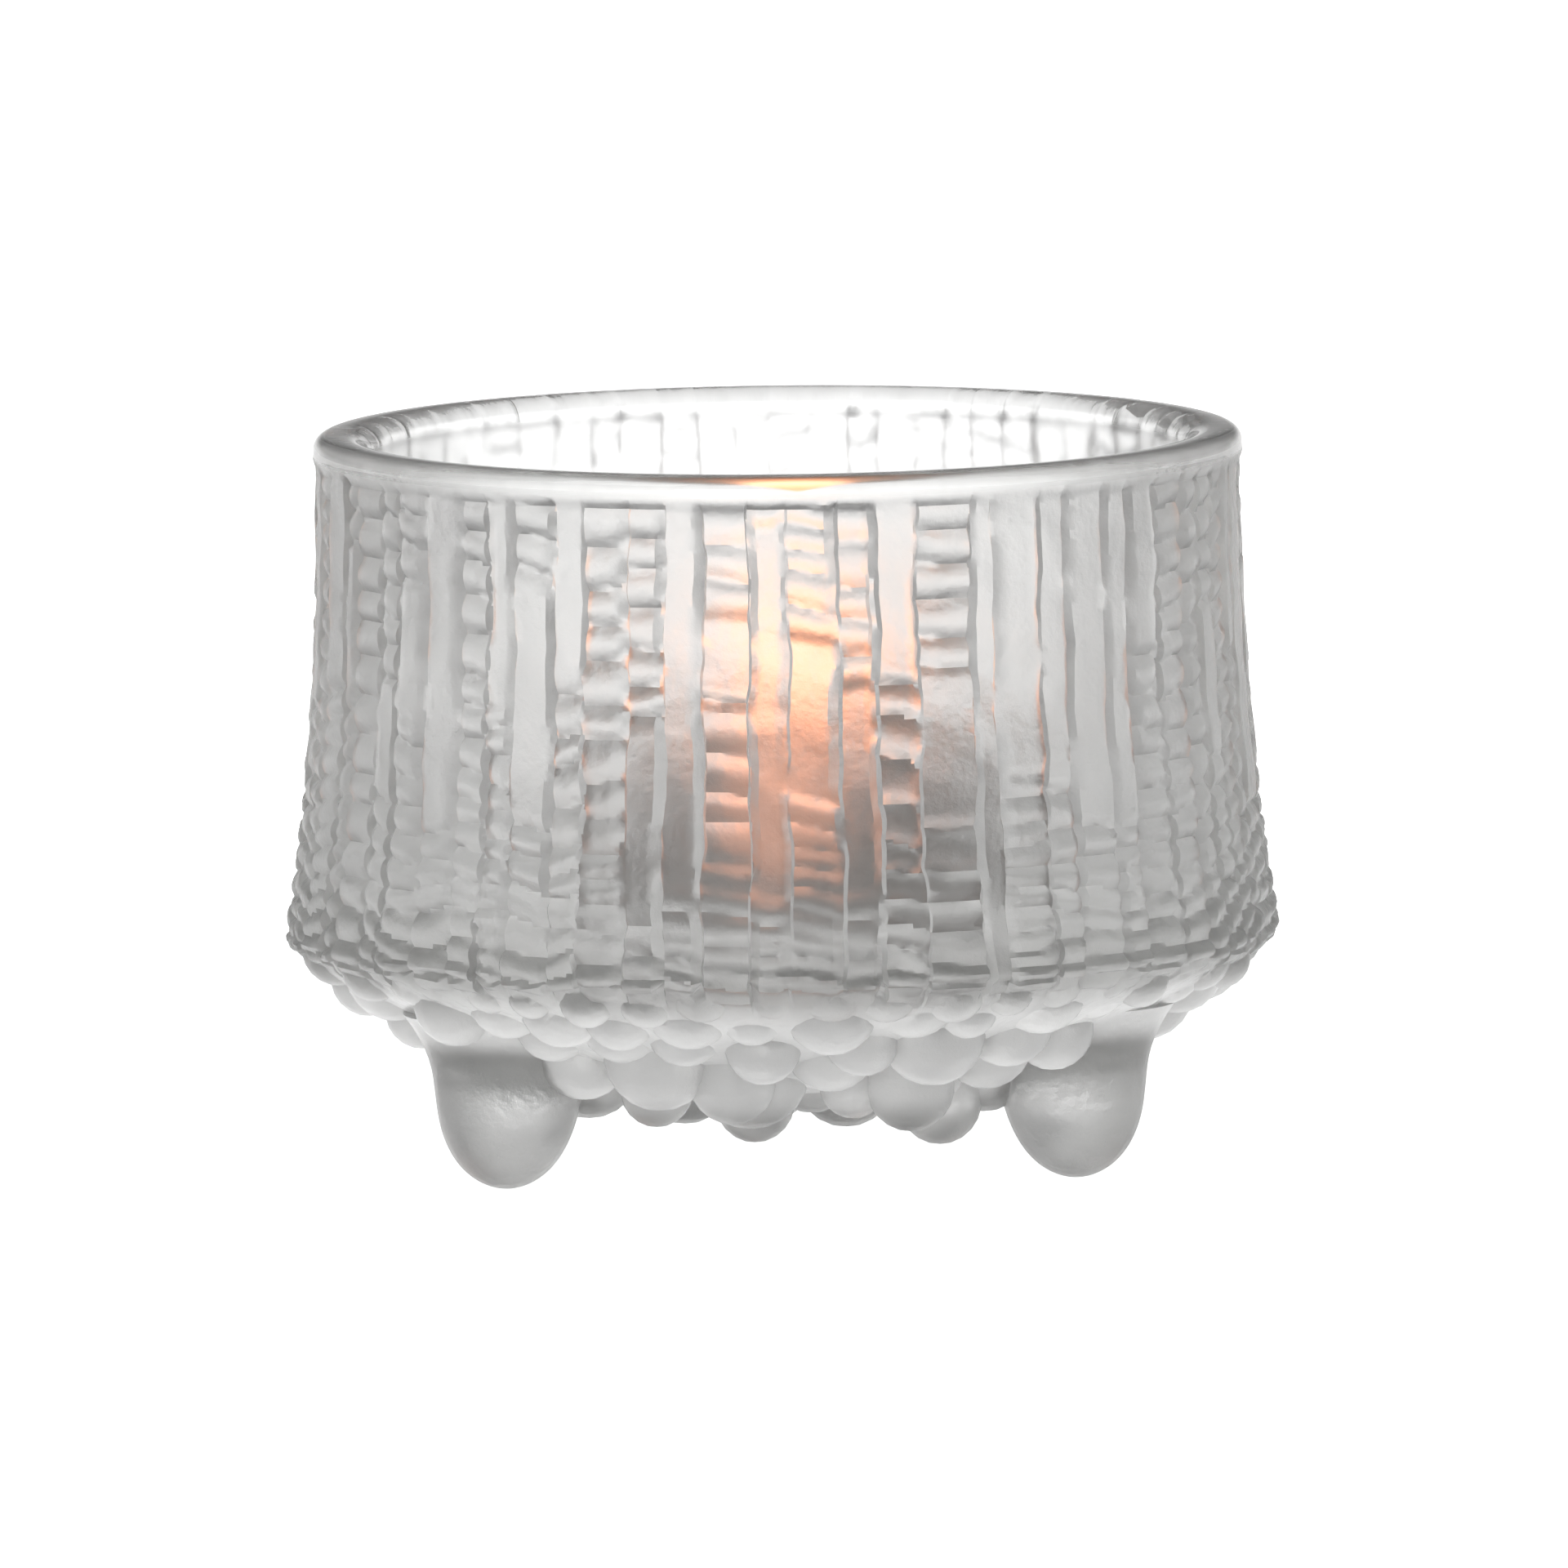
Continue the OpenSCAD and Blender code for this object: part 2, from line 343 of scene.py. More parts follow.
def strip_relief(number):
    """Depth below the plain wall of one strip: rows by the strip's own columns.

    Bricks: their joints are spaced by the strip's pitch, each moved a little and slanted across the
    strip. A joint is a V-shaped dip between two rounded faces; on the ridged strips it is a crisp ridge
    between two round hollows. A plain stretch has only a slow wave. The strip's own level is added to
    both.
    """
    _, (plain_low, plain_high), pitch = strips[number]
    share = column_share[column_strip == number]
    steps = pitch * rng.uniform(0.72, 1.28, size=40)
    steps[int(SHORT_FROM / pitch):] *= SHORT_BRICKS
    joints = (BRICK_TOP - np.concatenate([[0], np.cumsum(steps)]))[::-1]
    slant = rng.choice([-1, 1]) * rng.uniform(0.05, 0.75) ** 1.5
    bow = rng.uniform(-0.35, 0.15)
    z = wall_z[:, None] + (slant + 0.2 * np.sin(wall_z[:, None] * 0.7 + number)) * share + bow * share ** 2
    cell = np.clip(np.searchsorted(joints, z) - 1, 0, len(joints) - 2)
    across = (z - joints[cell]) / (joints[cell + 1] - joints[cell])
    ridge = rng.uniform(0.0, 0.45, size=len(joints) + 1)
    crest = ridge[cell] * (1 - across) + ridge[cell + 1] * across
    hollow = 1 - np.abs(2 * across - 1) ** rng.uniform(1.7, 2.6)
    depth = np.clip((joints[cell + 1] - joints[cell]) / 3.0, 0.5, 1.1)
    if number not in RIDGED:
        hollow, crest = 1 - hollow, ridge[cell] * 0.4
    strength = BRICK_D * (RIDGED_DEPTH if number in RIDGED else DIP_DEPTH + LOW_DEPTH * (z < LOW_BRICKS))
    bricks = strength * (crest + (1 - crest) * hollow * depth) * (1 - 0.25 * share ** 4)
    bricks = bricks + 0.1 * np.abs(share) ** 3
    phase, length = rng.uniform(0, 6.3), rng.uniform(5, 11)
    plain = 0.07 + 0.06 * np.sin(wall_z[:, None] * 2 * math.pi / length + phase + share)
    on_plain = np.clip((z - plain_low) / PLAIN_FADE, 0, 1) * np.clip((plain_high - z) / PLAIN_FADE, 0, 1)
    return softness[number] * bricks * (1 - on_plain) + plain * on_plain + strip_level[number]


def groove_relief():
    """Depth of the grooves between strips: full at a strip's edge, none where a groove's side ends.

    A groove also fades and comes back on its way down, as on bark.
    """
    x, width = column_x, widths[column_strip]
    left = np.clip(1 - x / after_groove[column_strip], 0, 1)
    right = np.clip(1 - (width - x) / before_groove[column_strip], 0, 1)
    after = (column_strip + 1) % count
    fading = np.clip(0.70 + wavy(count, (17, 7.5, 2.9), (0.4, 0.22, 0.14)), 0.1, 1)
    strength = softness * groove_depth * fading
    return strength[:, column_strip] * left + strength[:, after] * right


# %% The depth of the relief over the whole wall
def wall_relief():
    """All strips side by side, fading out in the smooth band under the lip, with a slow wave added."""
    depth = np.concatenate([strip_relief(number) for number in range(count)], axis=1) + groove_relief()
    ends = np.clip((HOLDER_H - SMOOTH_BAND - wall_z) / 0.6, 0, 1)
    ends *= np.clip((wall_z - BELLY_Z + RELIEF_END) / (RELIEF_END * 0.7), 0, 1)
    wave = 0.05 * np.sin(3 * column_angle + 0.8) * np.sin(wall_z[:, None] * 0.11)
    return (depth + wave + 0.05) * ends[:, None]


# The strips' edges wander a little on their way up.
sway = wavy(count, (19, 8.3, 4.1, 2.3), (0.14, 0.08, 0.04, 0.02)) * np.clip((wall_z - 16) / 3, 0, 1)[:, None]
edge_share = (column_share + 1) / 2
next_strip = (column_strip + 1) % count
column_sway = sway[:, column_strip] * (1 - edge_share) + sway[:, next_strip] * edge_share
relief = wall_relief()
print("relief between", round(relief.min(), 2), "and", round(relief.max(), 2), "mm deep")

# %% The grid of the whole bowl
cavity_top_r = RIM_R - WALL_T
cavity_low_r = cavity_top_r + wall_radius(FLOOR_Z + FLOOR_FILLET) - RIM_R - WALL_GAIN
inside = np.concatenate([
    np.stack([np.linspace(0, cavity_low_r - FLOOR_FILLET, 4), np.full(4, FLOOR_Z)], axis=-1)[:-1],
    arc((cavity_low_r - FLOOR_FILLET, FLOOR_Z + FLOOR_FILLET), FLOOR_FILLET, -90, 0, 8),
    arc((cavity_top_r + LIP_INNER_R, HOLDER_H - LIP_INNER_R), LIP_INNER_R, 180, 90, 7),
    arc((RIM_R - LIP_OUTER_R, HOLDER_H - LIP_OUTER_R), LIP_OUTER_R, 90, 0, 6)[:-1],
])
under_r = np.linspace(outline[-1, 0], 0, 6)[1:]
outer_r = outline[:, :1] - relief * outline_normal[:, :1]
outer_z = outline[:, 1:] - relief * outline_normal[:, 1:]
bowl_points = np.concatenate([
    turn(inside[:, :1], column_angle, inside[:, 1:]),
    turn(outer_r, column_angle + column_sway / MEAN_R, outer_z),
    turn(under_r[:, None], column_angle, under_height(under_r)[:, None]),
])
glass = clean_skin(grid_object("ice_glass_holder", bowl_points, poles=(True, True)))
print("bowl:", len(glass.data.polygons), "faces")

# %% [markdown]
# ## Frozen drops and feet
#
# The underside is a crowd of hanging drops, tier below tier, like wax that froze as it ran. Each is a
# round tip that widens upwards into the glass. Three long ones are the feet. They could be sculpted, but
# crisp creases where drops meet are what the real casting shows, so each drop is its own small closed
# surface and all are joined to the bowl by exact unions. Drops that touch each other go into different
# batches, because one union takes a batch of separate shapes.

# %% One drop and one foot
def egg_points(x, y, tip_z, radius, top_z, columns=18, rows=12):
    """A closed drop: half a sphere below, and above its widest line half an ellipsoid up to top_z."""
    swing = np.linspace(0, math.pi, rows)[:, None]
    stretch = np.where(swing < math.pi / 2, radius, top_z - tip_z - radius)
    angle = np.linspace(0, 2 * math.pi, columns, endpoint=False)
    points = turn(radius * np.sin(swing), angle, tip_z + radius - stretch * np.cos(swing))
    return points + np.array([x, y, 0.0])


def foot_points(x, y, top_z, lean, columns=48, rows=30):
    """A hanging foot: a round tip, then a shank that widens in proportion to the height, faster at the top.

    Its centre line drifts by lean over its height, as the square of the height.
    """
    height = top_z * np.linspace(0, 1, rows)[:, None] ** 2
    width = FOOT_ROUND * np.sin(math.pi / 2 * np.sqrt(np.clip(height / FOOT_ROUND_H, 0, 1)))
    width += FOOT_SPREAD * height + FOOT_FLARE * np.clip(height - FLARE_FROM, 0, None) ** 2
    angle = np.linspace(0, 2 * math.pi, columns, endpoint=False)
    points = turn(width, angle, height) + np.array([x, y, 0.0])
    points[..., :2] += np.array(lean) * ((height / top_z) ** 2)[..., None]
    cap = points[-1:].mean(axis=1, keepdims=True).repeat(columns, axis=1)
    return np.concatenate([points, cap])


# %% Where the drops hang
FOOT_R = 28.3
FOOT_TURN = math.radians(94.5)
FOOT_ROUND = 5.0                # radius that the round tip alone would reach
FOOT_ROUND_H = 7.0              # height at which it would reach it
FOOT_SPREAD = 0.18              # how fast the shank widens
FOOT_FLARE = 0.06               # how fast it widens further up, with the square of the height
FLARE_FROM = 9.5                # height from which it does
FOOT_TOP = 15.5
FOOT_LEAN = -0.04               # drift of a foot's top towards the axis, as a share of its place
FOOT_CLEAR = 7.6                # least distance from a drop's middle to a foot's
LONG_CLEAR = 4.0                # and to a long drop's
foot_angles = FOOT_TURN + np.arange(3) * 2 * math.pi / 3
foot_xy = FOOT_R * np.stack([np.cos(foot_angles), np.sin(foot_angles)], axis=-1)
LEFT_FOOT_OUT = 1.1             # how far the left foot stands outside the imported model's foot
foot_xy[1, 0] -= LEFT_FOOT_OUT
# Each tier: its radius about the axis, how low its drops reach, a drop's radius, and their spacing.
TIERS = [
    (39.7, 16.9, 2.8, 5.2), (36.4, 14.3, 3.7, 6.3), (32.2, 11.4, 4.2, 7.2), (27.6, 8.4, 4.5, 7.7),
    (22.0, 6.5, 4.5, 7.9), (15.8, 5.8, 4.3, 7.7), (9.4, 5.3, 4.1, 7.5),
]
# Drops that hang lower than their neighbours: x, y, height of the tip, and radius.
LONG_DROPS = [
    (-11.2, -17.0, 5.4, 3.2), (-2.6, -14.0, 3.6, 3.5), (13.6, -15.0, 3.4, 3.7), (6.0, -22.0, 6.6, 3.0),
    (-4.5, -25.5, 6.6, 3.9), (11.0, -23.5, 5.6, 3.9), (-14.0, 10.0, 4.2, 3.5), (15.5, 12.0, 4.0, 3.6),
    (0.0, 1.0, 4.4, 3.4), (-17.5, 19.0, 5.4, 3.4), (19.0, 17.5, 5.6, 3.5),
]


def place_drops():
    """Rows of x, y, tip height and radius for every drop, tier by tier, leaving the feet free."""
    found = []
    for tier_r, tip, size, spacing in TIERS:
        count = int(2 * math.pi * tier_r / spacing)
        angle = (np.arange(count) + rng.uniform(-0.16, 0.16, count) + rng.random()) * 2 * math.pi / count
        r = tier_r + rng.uniform(-0.8, 0.4, count)
        sizes = size * rng.uniform(0.76, 1.2, count)
        tips = tip + rng.normal(0, 0.6, count).clip(-1.1, 1.1) - 0.5 * (sizes - size)
        rows = np.stack([r * np.cos(angle), r * np.sin(angle), tips, sizes], axis=-1)
        to_feet = np.linalg.norm(rows[:, None, :2] - foot_xy[None], axis=-1).min(axis=1)
        long_xy = np.array(LONG_DROPS)[None, :, :2]
        to_long = np.linalg.norm(rows[:, None, :2] - long_xy, axis=-1).min(axis=1)
        clear = (to_feet > FOOT_CLEAR) & (to_long > LONG_CLEAR)
        found.append(rows[clear])
    return np.concatenate(found + [np.array(LONG_DROPS)])


drops = place_drops()
print(len(drops), "drops in", len(TIERS), "tiers")

# %% Drops as meshes, in batches that don't touch
def batches_of(drops):
    """Deal the drops into batches: each drop goes to the first batch where it touches no other."""
    batches = []
    for number, (x, y, _, size) in enumerate(drops):
        for batch in batches:
            others = drops[batch]
            if (np.hypot(others[:, 0] - x, others[:, 1] - y) > 1.35 * (others[:, 3] + size) + 0.4).all():
                batch.append(number)
                break
        else:
            batches.append([number])
    return batches


def merged_object(name, grids):
    """One object from many closed grids, each with a pole at both ends."""
    parts = [clean_skin(grid_object(name, grid, poles=(True, True))) for grid in grids]
    with bpy.context.temp_override(active_object=parts[0], object=parts[0],
                                   selected_editable_objects=parts, selected_objects=parts):
        bpy.ops.object.join()
    return parts[0]


def drop_grid(x, y, tip, size):
    """A drop's grid: its top runs up into the glass, and ends below the cavity's floor."""
    r = math.hypot(x, y)
    highest = FLOOR_Z - 1.0 + 1.6 * max(0, r - 33)
    top = min(max(float(under_height(r)) + 5.0, tip + 3.2 * size), highest)
    return egg_points(x, y, tip, size, top)


drop_objects = [merged_object(f"drop_batch_{n}", [drop_grid(*drops[i]) for i in batch])
                for n, batch in enumerate(batches_of(drops))]
foot_grids = [foot_points(x, y, FOOT_TOP, lean=(FOOT_LEAN * x, FOOT_LEAN * y)) for x, y in foot_xy]
foot_object = merged_object("feet", foot_grids)
print(len(drop_objects), "batches of drops, and the feet")

# %% One glass body
def unite(target, tools):
    """Add each tool's solid to the target with an exact union, and remove the tool."""
    for tool in tools:
        union = target.modifiers.new("union", "BOOLEAN")
        union.operation = "UNION"
        union.solver = "MANIFOLD"
        union.object = tool
        with bpy.context.temp_override(object=target, active_object=target):
            bpy.ops.object.modifier_apply(modifier=union.name)
        bpy.data.objects.remove(tool)
    return target


unite(glass, [foot_object] + drop_objects)
clean_skin(glass, smooth_angle=38)
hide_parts("glass_holder")
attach(glass, "holder")
glass_triangles = sum(len(face.vertices) - 2 for face in glass.data.polygons)
print("glass:", glass_triangles, "triangles")

# %% [markdown]
# ## The glass itself
#
# Clear glass bends light at a polished skin; a frosted skin also scatters it. One shader does both: the
# index of glass, and a roughness that is low on the lip, medium in the cavity and on the underside, and
# highest on the frosted wall. The glass takes a little of the light that goes through it. Between the feet
# and the belly the underside is milky: it lets a part of the light through and scatters the rest.

# %% Glass
def new_material(name):
    """An empty material with a Principled shader; returns the material, its tree and the shader."""
    material = bpy.data.materials.new(name)
    material.use_nodes = True
    tree = material.node_tree
    return material, tree, tree.nodes["Principled BSDF"]


def object_axes(tree):
    """Object coordinates, in metres: the vector, its distance from the axis, and its height."""
    vector = add_node(tree, "ShaderNodeTexCoord").outputs["Object"]
    parts = add_node(tree, "ShaderNodeSeparateXYZ", {"Vector": vector})
    flat = add_node(tree, "ShaderNodeCombineXYZ", {"X": parts.outputs["X"], "Y": parts.outputs["Y"]})
    radius = add_node(tree, "ShaderNodeVectorMath", {0: flat.outputs[0]}, operation="LENGTH")
    return vector, radius.outputs["Value"], parts.outputs["Z"]


def noise(tree, vector, scale, detail=2.0, roughness=0.5):
    """A noise texture's value, about 0.5 on average."""
    node = add_node(tree, "ShaderNodeTexNoise",
                    {"Vector": vector, "Scale": scale, "Detail": detail, "Roughness": roughness})
    return node.outputs["Fac"]


def colour_ramp(tree, factor, first, last, *between):
    """The colour from first, at 0, to last, at 1; stops between them are (place, colour) pairs."""
    node = add_node(tree, "ShaderNodeValToRGB", {"Fac": factor})
    stops = node.color_ramp.elements
    stops[0].color, stops[1].color = (*first, 1), (*last, 1)
    for place, colour in between:
        stops.new(place).color = (*colour, 1)
    return node.outputs["Color"]


def add_bump(tree, shader, height, strength, distance, **under):
    """Bump the shader's normal by a height map; distance in metres."""
    node = add_node(tree, "ShaderNodeBump",
                    {"Height": height, "Strength": strength, "Distance": distance, **under})
    tree.links.new(node.outputs["Normal"], shader.inputs["Normal"])


FROST_ROUGH = 0.45              # the frosted wall
SATIN_ROUGH = 0.36              # the underside
GLASS_ABSORBS = 95.0            # per metre, times the share that the glass's grey takes
POLISH_ROUGH = 0.06             # the lip
CAVITY_ROUGH = 0.36
MILKY_CLEAR = 0.68              # share of the light that goes through on the milky underside
CREST_PAINTED_SHADE = 0.48               # painted shade: the base colour darkens along the lip's crest, standing in for the dark line the lip shows there; clear glass has none
FROST_WHITE = 0.04              # share that the frosting scatters back like chalk
# Where each finish begins and ends, in metres: radii about the axis, or heights above the table.
OUTSIDE_R = (0.0380, 0.0390)
UNDERSIDE_Z = (0.0186, 0.0180)
LIP_Z = (0.0636, 0.0628)
LOW_WALL_Z = (0.0160, 0.0200)
MILKY_Z = (0.0060, 0.0095)
# The painted shade along the lip's crest: radii and heights that set where its line runs.
CREST_R = (0.0382, 0.0392)
CREST_Z = (0.0637, 0.0646)
CLEAR_FOOT_Z = (0.0120, 0.0145)
CLEAR_FOOT_R = (0.0072, 0.0088)  # about a foot's own middle


def ice_glass():
    """Frosted wall, satin cavity, milky underside and polished lip, with a grain, uneven frosting and a
    painted shade line along the lip's crest.

    The frosting's share is 1 on the outer wall and under the floor, and 0 in the cavity and on the lip.
    """
    material, tree, shader = new_material("ice_glass")
    vector, radius, height = object_axes(tree)
    outer = ramp_between(tree, radius, *OUTSIDE_R, 0.0, 1.0)
    under = ramp_between(tree, height, *UNDERSIDE_Z, 0.0, 1.0)
    below_lip = ramp_between(tree, height, *LIP_Z, 0.0, 1.0)
    frost = math_node(tree, "MULTIPLY", math_node(tree, "MAXIMUM", outer, under), below_lip)
    patches = ramp_between(tree, noise(tree, vector, 90.0, 3.0), 0.3, 0.7, -0.04, 0.04)
    satin = ramp_between(tree, height, *LOW_WALL_Z, SATIN_ROUGH - CAVITY_ROUGH, FROST_ROUGH - CAVITY_ROUGH)
    smooth = math_node(tree, "MULTIPLY", below_lip, CAVITY_ROUGH - POLISH_ROUGH)
    smooth = math_node(tree, "ADD", smooth, POLISH_ROUGH)
    rough = math_node(tree, "ADD", math_node(tree, "MULTIPLY", frost, satin), smooth)
    rough = math_node(tree, "ADD", rough, math_node(tree, "MULTIPLY", frost, patches), clamp=True)
    tree.links.new(rough, shader.inputs["Roughness"])
    grain = math_node(tree, "MULTIPLY", noise(tree, vector, 2600.0, 2.0, 0.6), frost)
    fine = add_node(tree, "ShaderNodeBump", {"Height": grain, "Strength": 0.5, "Distance": 0.00007})
    skin = math_node(tree, "MULTIPLY", noise(tree, vector, 430.0, 2.0, 0.55), frost)
    add_bump(tree, shader, skin, 0.5, 0.0004, Normal=fine.outputs["Normal"])
    tint = colour_ramp(tree, noise(tree, vector, 40.0), (0.955, 0.957, 0.955), (0.985, 0.985, 0.98))
    # Painted shade: the base colour darkens in a thin line along the lip's crest.
    crest_foot = ramp_between(tree, radius, *CREST_R, *CREST_Z)
    above = math_node(tree, "SUBTRACT", height, crest_foot)
    crest = ramp_between(tree, above, -0.0002, 0.0003, 1.0, CREST_PAINTED_SHADE)
    shade = add_node(tree, "ShaderNodeVectorMath", {0: tint, "Scale": crest}, operation="SCALE")
    tree.links.new(shade.outputs["Vector"], shader.inputs["Base Color"])
    absorb = add_node(tree, "ShaderNodeVolumeAbsorption",
                      {"Color": (0.88, 0.88, 0.875, 1), "Density": GLASS_ABSORBS})
    tree.links.new(absorb.outputs[0], tree.nodes["Material Output"].inputs["Volume"])
    milky_top = ramp_between(tree, height, *LOW_WALL_Z, 1.0, 0.0)
    milky_foot = ramp_between(tree, height, *MILKY_Z, 0.0, 1.0)
    milky = math_node(tree, "MULTIPLY", milky_top, milky_foot)
    low = ramp_between(tree, height, *CLEAR_FOOT_Z, 1.0, 0.0)
    flat = add_node(tree, "ShaderNodeVectorMath", {0: vector, 1: (1, 1, 0)}, operation="MULTIPLY")
    for x, y in foot_xy * MM:
        off = add_node(tree, "ShaderNodeVectorMath", {0: flat.outputs[0], 1: (x, y, 0)},
                       operation="DISTANCE")
        beside = ramp_between(tree, off.outputs["Value"], *CLEAR_FOOT_R, 1.0, 0.0)
        near = math_node(tree, "MULTIPLY", beside, low)
        milky = math_node(tree, "MULTIPLY", milky, math_node(tree, "SUBTRACT", 1.0, near))
    clear = math_node(tree, "SUBTRACT", 1.0, math_node(tree, "MULTIPLY", milky, 1 - MILKY_CLEAR))
    clear = math_node(tree, "SUBTRACT", clear, math_node(tree, "MULTIPLY", frost, FROST_WHITE))
    tree.links.new(clear, shader.inputs["Transmission Weight"])
    shader.inputs["IOR"].default_value = 1.5
    return material


glass.data.materials.clear()
glass.data.materials.append(ice_glass())
print("glass roughness:", FROST_ROUGH, "frosted,", POLISH_ROUGH, "polished")

# %% [markdown]
# ## The tealight
#
# A tealight is wax in a pressed aluminium cup, with a wick held upright by a small steel disc. Here it is
# lit: the wax round the wick is melted, and a flame the shape of a long drop stands on the wick.

# %% Sizes of the tealight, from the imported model
cup_low, cup_high = (np.array(corner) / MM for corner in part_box("tealight_cup"))
CUP_X, CUP_Y = (cup_low[:2] + cup_high[:2]) / 2
CUP_R = (cup_high[0] - cup_low[0]) / 2
CUP_TOP = cup_high[2]
wax_low, wax_high = (np.array(corner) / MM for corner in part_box("wax"))
WAX_R = (wax_high[0] - wax_low[0]) / 2
wick_low, wick_high = (np.array(corner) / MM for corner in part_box("wick"))
print("cup radius", round(CUP_R, 2), "centre x", round(CUP_X, 2), "wax top", round(wax_high[2], 2))


def at_tealight(points):
    """Move points from the tealight's own axis to its place in the bowl."""
    return points + np.array([CUP_X, CUP_Y, 0.0])


# %% The cup
FOIL_T = 0.25
ROLL_R = 0.5
BASE_STEP = 0.8
STEP_R = 8.0


def cup_outline():
    """The foil's closed outline: under the base, up the wall, round the rolled edge and down inside."""
    wall = CUP_R - 2 * ROLL_R + FOIL_T
    outer = np.array([[0, BASE_STEP], [STEP_R - 0.4, BASE_STEP], [STEP_R, BASE_STEP - 0.25],
                      [STEP_R + 0.5, 0.12], [STEP_R + 0.9, 0], [wall - 1.2, 0], [wall - 0.45, 0.3],
                      [wall - 0.08, 1.0], [wall, 2.0]])
    rise = np.linspace(2.0, CUP_TOP - FLOOR_Z - 2 * ROLL_R, 10)[1:]
    side = np.stack([np.full(9, wall), rise], axis=-1)
    roll = arc((CUP_R - ROLL_R, CUP_TOP - FLOOR_Z - ROLL_R), ROLL_R, -80, 170, 12)
    inner_side = np.stack([np.full(9, wall - FOIL_T), rise[::-1]], axis=-1)
    inner = np.array([[wall - FOIL_T, 2.0], [wall - FOIL_T - 0.07, 1.1], [wall - FOIL_T - 0.4, 0.55],
                      [wall - 1.25, FOIL_T], [STEP_R + 0.95, FOIL_T], [STEP_R + 0.6, 0.32],
                      [STEP_R + 0.1, BASE_STEP], [STEP_R - 0.35, BASE_STEP + FOIL_T],
                      [0, BASE_STEP + FOIL_T]])
    return np.concatenate([outer, side, roll, inner_side, inner])


def foil_cup():
    """The outline turned round, with shallow draw wrinkles that fade towards the base."""
    outline = cup_outline()
    angle = np.linspace(0, 2 * math.pi, 288, endpoint=False)
    z = outline[:, 1:]
    high = np.clip((z - 3) / 8, 0, 1) * np.clip((CUP_TOP - FLOOR_Z - 1.1 - z) / 1.0, 0, 1)
    wrinkle = 0.05 * (np.sin(72 * angle) + 0.6 * np.sin(31 * angle + 1.3)) * high
    radius = outline[:, :1] - np.abs(wrinkle) * (outline[:, :1] > STEP_R + 2)
    points = turn(radius, angle, z + FLOOR_Z)
    return grid_object("foil_cup", at_tealight(points), poles=(True, True))


cup = clean_skin(foil_cup(), smooth_angle=35)
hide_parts("tealight_cup")
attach(cup, "cup")
print("cup:", len(cup.data.polygons), "faces")

# %% The wax
WICK_R = 0.85
BORE_R = 0.95
WAX_BASE = wax_low[2]
WAX_TOP = wax_high[2]
POOL_R = 13.5
POOL_DEPTH = 0.75


def wax_body():
    """Wax with a melted pool: level at the wall, a soft shore, a liquid dish, and a rise at the wick."""
    r = np.concatenate([np.linspace(BORE_R, 3, 7), np.linspace(3, WAX_R - 0.5, 26)[1:]])[:, None]
    angle = np.linspace(0, 2 * math.pi, 120, endpoint=False)
    shore = POOL_R + 0.8 * np.sin(2 * angle + 0.4) + 0.35 * np.sin(5 * angle + 2)
    dish = 1 / (1 + np.exp((r - shore) / 0.35))
    climb = 0.35 * np.exp(-(r - BORE_R) / 0.8)
    rough_top = 0.04 * np.sin(r * 2.1 + 3 * np.sin(angle)) * np.sin(angle * 7) * (1 - dish)
    edge_drop = 0.06
    top = WAX_TOP - edge_drop - POOL_DEPTH * dish + climb * dish + rough_top
    over = turn(r, angle, top)
    corner = arc((WAX_R - 0.5, WAX_TOP - edge_drop - 0.5), 0.5, 90, 0, 5)[1:]
    down = np.stack([np.full(8, WAX_R), np.linspace(WAX_TOP - 1.2, WAX_BASE + 0.4, 8)], axis=-1)
    under = np.array([[WAX_R - 0.35, WAX_BASE], [10.0, WAX_BASE], [BORE_R, WAX_BASE]])
    bore = np.stack([np.full(5, BORE_R), np.linspace(WAX_BASE, WAX_TOP - POOL_DEPTH, 7)[1:-1]], axis=-1)
    rest = np.concatenate([corner, down, under, bore])
    points = np.concatenate([over, turn(rest[:, :1], angle, rest[:, 1:])])
    return grid_object("candle_wax", at_tealight(points), closed_rows=True)


wax = clean_skin(wax_body(), smooth_angle=35)
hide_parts("wax")
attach(wax, "candle")
print("wax:", len(wax.data.polygons), "faces")

# %% [markdown]
# ## Wick and flame
#
# A wick is a flat braid of cotton that curls over as it burns. A tube along a bent line would be a plain
# cord, so its radius here follows the strands of the braid, and its tip narrows and is charred. The flame
# isn't a solid: it is a skin in the shape of a long drop that gives out light.

# %% The wick
CURL_R = 4.0
CURL_ANGLE = math.radians(48)


def wick_centre(length, straight):
    """The wick's middle line: straight up, and then round an arc towards -X; with its own direction."""
    along = np.clip(length - straight, 0, None) / CURL_R
    x = -CURL_R * (1 - np.cos(along))
    z = np.minimum(length, straight) + CURL_R * np.sin(along)
    return x, z, along


def braided_wick():
    """A tube whose radius follows two crossing sets of strands, narrowing to a charred tip."""
    straight = wick_high[2] - wick_low[2] - CURL_R * math.sin(CURL_ANGLE)
    straight -= WICK_R * math.sin(CURL_ANGLE) * 0.4
    total = straight + CURL_R * CURL_ANGLE
    length = np.linspace(0, total, 90)[:, None]
    angle = np.linspace(0, 2 * math.pi, 28, endpoint=False)
    x, z, lean = wick_centre(length, straight - 0.4)
    strand = np.abs(np.sin(3 * angle + length * 2.2)) * np.abs(np.sin(3 * angle - length * 2.2))
    taper = np.clip((total - length) / 0.7, 0, 1) ** 0.5
    radius = (WICK_R - 0.16 + 0.13 * strand) * taper
    local_x = radius * np.cos(angle)
    points = np.stack([x + local_x * np.cos(lean), radius * np.sin(angle) + 0 * x,
                       z + local_x * np.sin(lean) + wick_low[2]], axis=-1)
    points[0] = points[0].mean(axis=0)
    points[-1] = points[-1].mean(axis=0)
    return grid_object("braided_wick", at_tealight(points), poles=(True, True))


